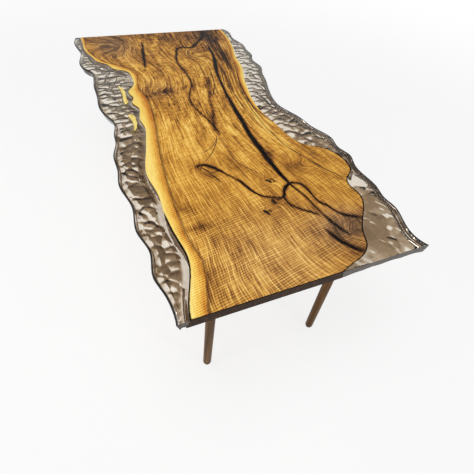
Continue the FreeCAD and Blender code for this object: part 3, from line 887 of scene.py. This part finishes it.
class Graph:
    """The nodes of a material or world, built by short calls that each give an output socket."""

    def __init__(self, owner):
        owner.use_nodes = True
        self.owner = owner
        self.nodes = owner.node_tree.nodes
        self.links = owner.node_tree.links

    def feed(self, socket, value):
        if isinstance(value, bpy.types.NodeSocket):
            self.links.new(value, socket)
        else:
            socket.default_value = value

    def node(self, kind, inputs, output=0, **settings):
        made = self.nodes.new(kind)
        for key, value in settings.items():
            setattr(made, key, value)
        for key, value in inputs.items():
            self.feed(made.inputs[key], value)
        return made.outputs[output]

    def math(self, operation, first, *others):
        """One number after the other joined by an operation."""
        for other in others:
            first = self.node("ShaderNodeMath", {0: first, 1: other}, operation=operation)
        return first

    def add(self, *terms):
        return self.math("ADD", *terms)

    def times(self, *factors):
        return self.math("MULTIPLY", *factors)

    def ranged(self, value, low, high, to_low=0.0, to_high=1.0):
        """The value eased from one range to another."""
        inputs = {"Value": value, "From Min": low, "From Max": high, "To Min": to_low, "To Max": to_high}
        return self.node("ShaderNodeMapRange", inputs, interpolation_type="SMOOTHSTEP")

    def centred(self, value, strength):
        """A value around a half, brought around zero and scaled."""
        inputs = {0: value, 1: strength, 2: -0.5 * strength}
        return self.node("ShaderNodeMath", inputs, operation="MULTIPLY_ADD")

    def lines(self, coordinate, spacing, share):
        """Thin soft lines at a spacing, of which each takes a share."""
        phase = self.math("PINGPONG", self.math("DIVIDE", coordinate, spacing), 0.5)
        return self.ranged(phase, 0.5 - share, 0.5)

    def split(self, vector):
        return self.node("ShaderNodeSeparateXYZ", {0: vector}).node.outputs[:]

    def attribute(self, name, output="Fac"):
        return self.node("ShaderNodeAttribute", {}, output, attribute_name=name)

    def place(self, output="Object"):
        return self.node("ShaderNodeTexCoord", {}, output)

    def noise(self, vector, scale, detail=3.0, roughness=0.55, distortion=0.0):
        scaled = self.node("ShaderNodeVectorMath", {0: vector, 1: scale}, operation="MULTIPLY")
        inputs = {"Vector": scaled, "Scale": 1.0, "Detail": detail, "Roughness": roughness,
                  "Distortion": distortion}
        return self.node("ShaderNodeTexNoise", inputs)

    def mix(self, share, first, second):
        return self.node("ShaderNodeMix", {0: share, 6: first, 7: second}, 2, data_type="RGBA")

    def ramp(self, value, colour_stops):
        made = self.node("ShaderNodeValToRGB", {"Fac": value})
        elements = made.node.color_ramp.elements
        for position, _ in colour_stops[2:]:
            elements.new(position)
        for element, (position, shade) in zip(elements, sorted(colour_stops)):
            element.position = position
            element.color = shade
        return made

    def bump(self, height, distance, strength):
        inputs = {"Height": height, "Distance": distance, "Strength": strength}
        return self.node("ShaderNodeBump", inputs)

    def finish(self, node="Principled BSDF", **inputs):
        for key, value in inputs.items():
            self.feed(self.nodes[node].inputs[key.replace("_", " ")], value)
        return self.owner


class SlabGraph(Graph):
    """The slab's material, with what its heartwood and its sapwood share."""

    def __init__(self, owner):
        super().__init__(owner)
        self.flow = self.attribute("grain", "Vector")
        self.crossing = self.attribute("hatch")
        self.tone = self.attribute("tone")
        rings, trunk, _ = self.split(self.flow)
        self.rings = self.add(rings, self.centred(self.figure((7.0, 3.5, 1.0)), 0.040))
        self.trunk = self.add(trunk, self.centred(self.figure((7.0, 9.0, 1.0)), 0.026))
        self.streaks = self.figure((74.0, 2.2, 1.0), detail=4.0, roughness=0.62)
        self.fibres = self.figure((210.0, 11.0, 1.0), detail=2.0, roughness=0.6)

    def figure(self, scale, **options):
        """Noise that follows the grain."""
        return self.noise(self.flow, scale, **options)

    def patchy_lines(self, coordinate, spacing, share, patch, none, full, strength):
        """Thin lines that come and go with a patchy noise, between its levels for none and for full."""
        shown = self.ranged(patch, none, full)
        return self.times(self.lines(coordinate, spacing, share), shown, strength)


def heartwood(wood):
    """Colour of the heartwood: rings and rays in a fine plaid near, streaks and bands further along."""
    patch = wood.figure((16.0, 5.0, 1.0), detail=2.0)
    other_patch = wood.figure((9.0, 12.0, 3.0), detail=2.0)
    plaid = wood.add(
        wood.patchy_lines(wood.rings, 0.0155, 0.20, patch, 0.25, 0.65, 0.26),
        wood.patchy_lines(wood.trunk, 0.0118, 0.24, patch, 0.75, 0.35, -0.33),
        wood.patchy_lines(wood.trunk, 0.0260, 0.14, other_patch, 0.65, 0.40, 0.20),
        wood.patchy_lines(wood.rings, 0.0078, 0.26, other_patch, 0.35, 0.65, -0.20))
    growth = wood.patchy_lines(wood.rings, 0.0310, 0.20, patch, 0.62, 0.40, -0.20)
    strands = wood.figure((120.0, 9.0, 1.0), detail=2.0, roughness=0.6)
    curl = wood.figure((36.0, 50.0, 1.0), detail=2.0, roughness=0.6, distortion=0.6)
    cloud = wood.figure((10.0, 4.5, 1.0), detail=5.0, roughness=0.62)
    plain = wood.math("SUBTRACT", 1.0, wood.crossing)
    banded = wood.attribute("banded")
    clean = wood.ranged(banded, 0.0, 1.0, 1.0, 0.35)
    calm = wood.ranged(wood.crossing, 0.2, 0.9, 1.0, 0.6)
    broad = wood.add(wood.centred(wood.streaks, 0.95), wood.times(wood.centred(cloud, 1.10), clean))
    value = wood.add(
        0.665,
        wood.times(broad, calm),
        wood.times(wood.centred(wood.fibres, 1.05), wood.crossing),
        wood.times(wood.centred(strands, 1.15), plain),
        wood.times(wood.centred(curl, 0.80), plain, clean),
        wood.times(plaid, wood.crossing),
        wood.times(growth, plain),
        wood.times(wood.lines(wood.rings, 0.0250, 0.24), banded, -0.34),
        wood.tone,
        wood.ranged(wood.attribute("crack_gap"), 0.0, 0.014, -0.28, 0.0))
    return wood.mix(wood.attribute("cool"), wood.ramp(value, heart_stops), wood.ramp(value, cool_stops))


def pale_sapwood(wood, depth):
    """Colour of the sapwood, palest deep inside it, with darker rays that fade where few cross."""
    rays = wood.ranged(wood.crossing, 0.0, 0.5, -0.14, -0.40)
    value = wood.add(
        wood.ranged(depth, 0.0, full_sapwood, 0.40, 0.98),
        wood.centred(wood.fibres, 0.70),
        wood.times(wood.tone, 0.6),
        wood.times(wood.lines(wood.trunk, 0.0105, 0.20), rays),
        wood.ranged(wood.crossing, 0.0, 0.5, -0.09, 0.0))
    return wood.ramp(value, sapwood_stops)


def slab_wood():
    """Oiled wood: heartwood with a dark border to the sapwood, and bark along the edges."""
    wood = SlabGraph(bpy.data.materials.new("slab_wood"))
    depth = wood.add(wood.attribute("sapwood"), wood.centred(wood.figure((22.0, 34.0, 1.0)), 0.014))
    border = wood.times(wood.ranged(depth, -0.022, -0.003), wood.ranged(depth, 0.007, -0.002), 0.70)
    heart = wood.mix(border, heartwood(wood), sap_border)
    base = wood.mix(wood.ranged(depth, -0.004, 0.005), heart, pale_sapwood(wood, depth))
    base = wood.mix(wood.ranged(wood.attribute("bark"), 0.35, 0.65), base, surface_bark)
    gloss = wood.ranged(wood.streaks, 0.3, 0.7, 0.48, 0.38)
    relief = wood.bump(wood.add(wood.streaks, wood.fibres), 0.0003, 0.3)
    return wood.finish(Base_Color=base, Roughness=gloss, Specular_IOR_Level=0.06, Normal=relief)


def noisy(name, scale, rows, gloss, relief=None, noise=(), **inputs):
    """A finish whose colour, gloss and relief go with one noise."""
    graph = Graph(bpy.data.materials.new(name))
    pattern = graph.noise(graph.place(), scale, *noise)
    if isinstance(gloss, tuple):
        gloss = graph.ranged(pattern, 0.3, 0.7, *gloss)
    if relief:
        inputs["Normal"] = graph.bump(pattern, *relief)
    return graph.finish(Base_Color=graph.ramp(pattern, stops(*rows)), Roughness=gloss, **inputs)


def speckled(name, dark, light, gloss, metallic, size):
    rows = ((0.3, *dark), (0.7, *light))
    return noisy(name, (size, size, size), rows, gloss, (0.0002, 0.3), Metallic=metallic)


def mottled(name, dark, light, scale, gloss, specular):
    return noisy(name, scale, ((0.3, *dark), (0.7, *light)), gloss, Specular_IOR_Level=specular)


def live_edge_wood():
    """The natural edge of the trunk: charred near its top at the near end, cleaned further along."""
    graph = Graph(bpy.data.materials.new("live_edge"))
    rough = graph.noise(graph.place(), (40.0, 40.0, 90.0), detail=5.0, roughness=0.65)
    charred, lower, clean = (graph.ramp(rough, edge_stops)
                             for edge_stops in (charred_stops, lower_edge_stops, clean_edge_stops))
    _, along_trunk, height = graph.split(graph.place())
    near = graph.mix(graph.ranged(height, top - bark_depth, top - 0.5 * bark_depth), lower, charred)
    shade = graph.mix(graph.ranged(along_trunk, bark_end - bark_turn, bark_end + bark_turn), near, clean)
    return graph.finish(Base_Color=shade, Roughness=0.6, Specular_IOR_Level=0.0,
                        Normal=graph.bump(rough, 0.002, 0.8))


def clear_resin():
    """Cast resin: clear and polished with a light smoke, and with painted shade and highlights in the
    carving below.
    """
    graph = Graph(bpy.data.materials.new("clear_resin"))
    shade = graph.attribute("shade")
    _, along_trunk, _ = graph.split(graph.place())
    tint = graph.mix(graph.ranged(along_trunk, brown_end, grey_start),
                     graph.ramp(shade, brown_tints), graph.ramp(shade, grey_tints))
    polish = graph.noise(graph.place(), (14.0, 14.0, 14.0), detail=2.0)
    gloss = graph.ranged(polish, 0.3, 0.7, 0.01, 0.05)
    smoke = {"Color": resin_smoke, "Density": resin_density}
    graph.finish("Material Output", Volume=graph.node("ShaderNodeVolumeAbsorption", smoke))
    return graph.finish(Base_Color=tint, Roughness=gloss, Transmission_Weight=1.0, IOR=resin_index)


def cad_finishes():
    """The finish of each material slot that CAD nodes keep."""
    speckles = {
        "black_steel": ((20, 20, 21), (38, 38, 40), (0.45, 0.60), 0.0, 900.0),
        "zinc_steel": ((150, 152, 155), (190, 192, 194), (0.25, 0.40), 1.0, 250.0),
        "brass": ((176, 132, 62), (206, 166, 92), (0.25, 0.40), 1.0, 250.0),
        "nylon": ((24, 24, 25), (44, 44, 45), (0.50, 0.65), 0.0, 400.0),
    }
    finishes = {slot: speckled(slot, *look) for slot, look in speckles.items()}
    rows = ((0.30, 11, 9, 8), (0.75, 30, 26, 23))
    finishes["black_resin"] = noisy("black_resin", (30.0, 30.0, 30.0), rows, (0.25, 0.4),
                                    Specular_IOR_Level=0.03)
    # Walnut legs: their own tone, darkened further as painted shade from the table above
    rows = ((0.25, 64, 43, 21), (0.50, 100, 69, 35), (0.75, 132, 95, 53))
    finishes["leg_wood"] = noisy("leg_wood", (90.0, 90.0, 3.0), rows, (0.5, 0.38), (0.0004, 0.5),
                                 (4.0, 0.55, 0.4), Specular_IOR_Level=0.12)
    return finishes


def dress_cad_nodes():
    finishes = cad_finishes()
    for part in frame["record"]["subparts"]:
        if part["material_slot"] in finishes:
            mesh = frame["nodes"][part["node"]].data
            mesh.materials.clear()
            mesh.materials.append(finishes[part["material_slot"]])


# Floor, light and camera

def seen_directly(graph):
    """A socket that is 1 for what the camera sees straight, mirrored or through the resin, else 0."""
    kinds = ("Is Camera Ray", "Is Glossy Ray", "Is Transmission Ray")
    return graph.math("MAXIMUM", *(graph.node("ShaderNodeLightPath", {}, kind) for kind in kinds))


def floor():
    """A white floor that keeps the shadow of the table and shows no horizon."""
    graph = Graph(bpy.data.materials.new("floor"))
    greys = [(share, (grey, grey, grey, 1.0)) for share, grey in enumerate(floor_greys)]
    shade = graph.ramp(graph.noise(graph.place(), (0.6, 0.6, 0.6)), greys)
    material = graph.finish(Base_Color=shade, Roughness=0.9, Specular_IOR_Level=0.1)
    white = graph.node("ShaderNodeEmission", {"Color": (1.0, 1.0, 1.0, 1.0), "Strength": 1.0})
    away = graph.node("ShaderNodeVectorMath", {0: graph.place()}, "Value", operation="LENGTH")
    whiteness = graph.ranged(away, floor_near, floor_far, floor_whiteness, 1.0)
    share = graph.times(seen_directly(graph), whiteness)
    layers = {0: share, 1: graph.nodes["Principled BSDF"].outputs[0], 2: white}
    graph.finish("Material Output", Surface=graph.node("ShaderNodeMixShader", layers))
    corners = [(floor_half * i, floor_half * j, 0) for i, j in ((-1, -1), (1, -1), (1, 1), (-1, 1))]
    plane = add_object("floor", corners, [(0, 1, 2, 3)], [material])
    plane.location.z = cad_low.z


def softbox(name, place, aim, size, power):
    light = bpy.data.lights.new(name, "AREA")
    light.shape = "DISK"
    light.size = size
    light.energy = power
    lamp = bpy.data.objects.new(name, light)
    bpy.context.scene.collection.objects.link(lamp)
    lamp.location = place
    lamp.rotation_euler = (Vector(aim) - Vector(place)).to_track_quat("-Z", "Y").to_euler()


def studio_light():
    """A dome that is white at the horizon and darker above, with soft lamps."""
    world = bpy.data.worlds.new("studio")
    graph = Graph(world)
    _, _, height = graph.split(graph.place("Generated"))
    level = graph.ranged(height, horizon_height, sky_height, horizon_light, sky_light)
    graph.finish("Background", Color=(1.0, 1.0, 1.0, 1.0), Strength=level)
    bpy.context.scene.world = world
    for name, lamp in lamps.items():
        softbox(name, *lamp)


def photo_camera():
    lens = bpy.data.cameras.new("camera")
    lens.lens = camera_lens
    lens.sensor_width = camera_sensor
    camera = bpy.data.objects.new("camera", lens)
    bpy.context.scene.collection.objects.link(camera)
    turn = Matrix((camera_right, camera_up, camera_back)).transposed().to_4x4()
    camera.matrix_world = Matrix.Translation(camera_place) @ turn
    bpy.context.scene.camera = camera


haze = ((18.0, 18.0, 60.0), (0.12, 0.3), 0.25)
fill = ((60.0, 60.0, 60.0), 0.5, 0.12)
# End grain: its own darker tone, darkened further as painted shade
end_rows = ((0.25, 34, 22, 15), (0.55, 58, 38, 24), (0.80, 88, 60, 36))
island_rows = ((0.25, 84, 58, 26), (0.36, 220, 182, 84), (0.54, 248, 224, 124), (0.80, 252, 242, 180))
resin = [
    clear_resin(),
    # Near-black rim: painted shade for the dark line that clear resin shows at its edge
    mottled("resin_rim_painted_shade", (12, 10, 9), (26, 23, 21), *haze),
    mottled("resin_end", (52, 44, 38), (104, 94, 84), *haze),
    # Opaque brown lower wall: painted shade for what is seen through clear resin there
    mottled("resin_wall_painted_shade", (120, 102, 84), (190, 172, 150), *haze),
]
slab_finishes = [
    slab_wood(),
    mottled("hairline", (20, 12, 8), (44, 27, 16), *fill),
    noisy("end_grain_painted_shade", (70.0, 1.0, 26.0), end_rows, 0.6, (0.0004, 0.5), (4.0, 0.55, 0.5),
          Specular_IOR_Level=0.15),
    live_edge_wood(),
    mottled("contour", (58, 37, 22), (104, 72, 44), *fill),
]
slab_piece(slab_finishes)
wing_piece("left_wing", "left_resin_wing", left_live_edge, left_hand, resin)
wing_piece("right_wing", "right_resin_wing", right_live_edge, right_hand, resin)
island_wood = noisy("island_sapwood", (120.0, 16.0, 60.0), island_rows, 0.55, (0.001, 0.6), (5.0, 0.65))
for island in ("sapwood_island_far", "sapwood_island_near"):
    island_piece(island, island_wood)
dress_cad_nodes()
floor()
studio_light()
photo_camera()
bpy.context.scene.view_settings.view_transform = "Standard"
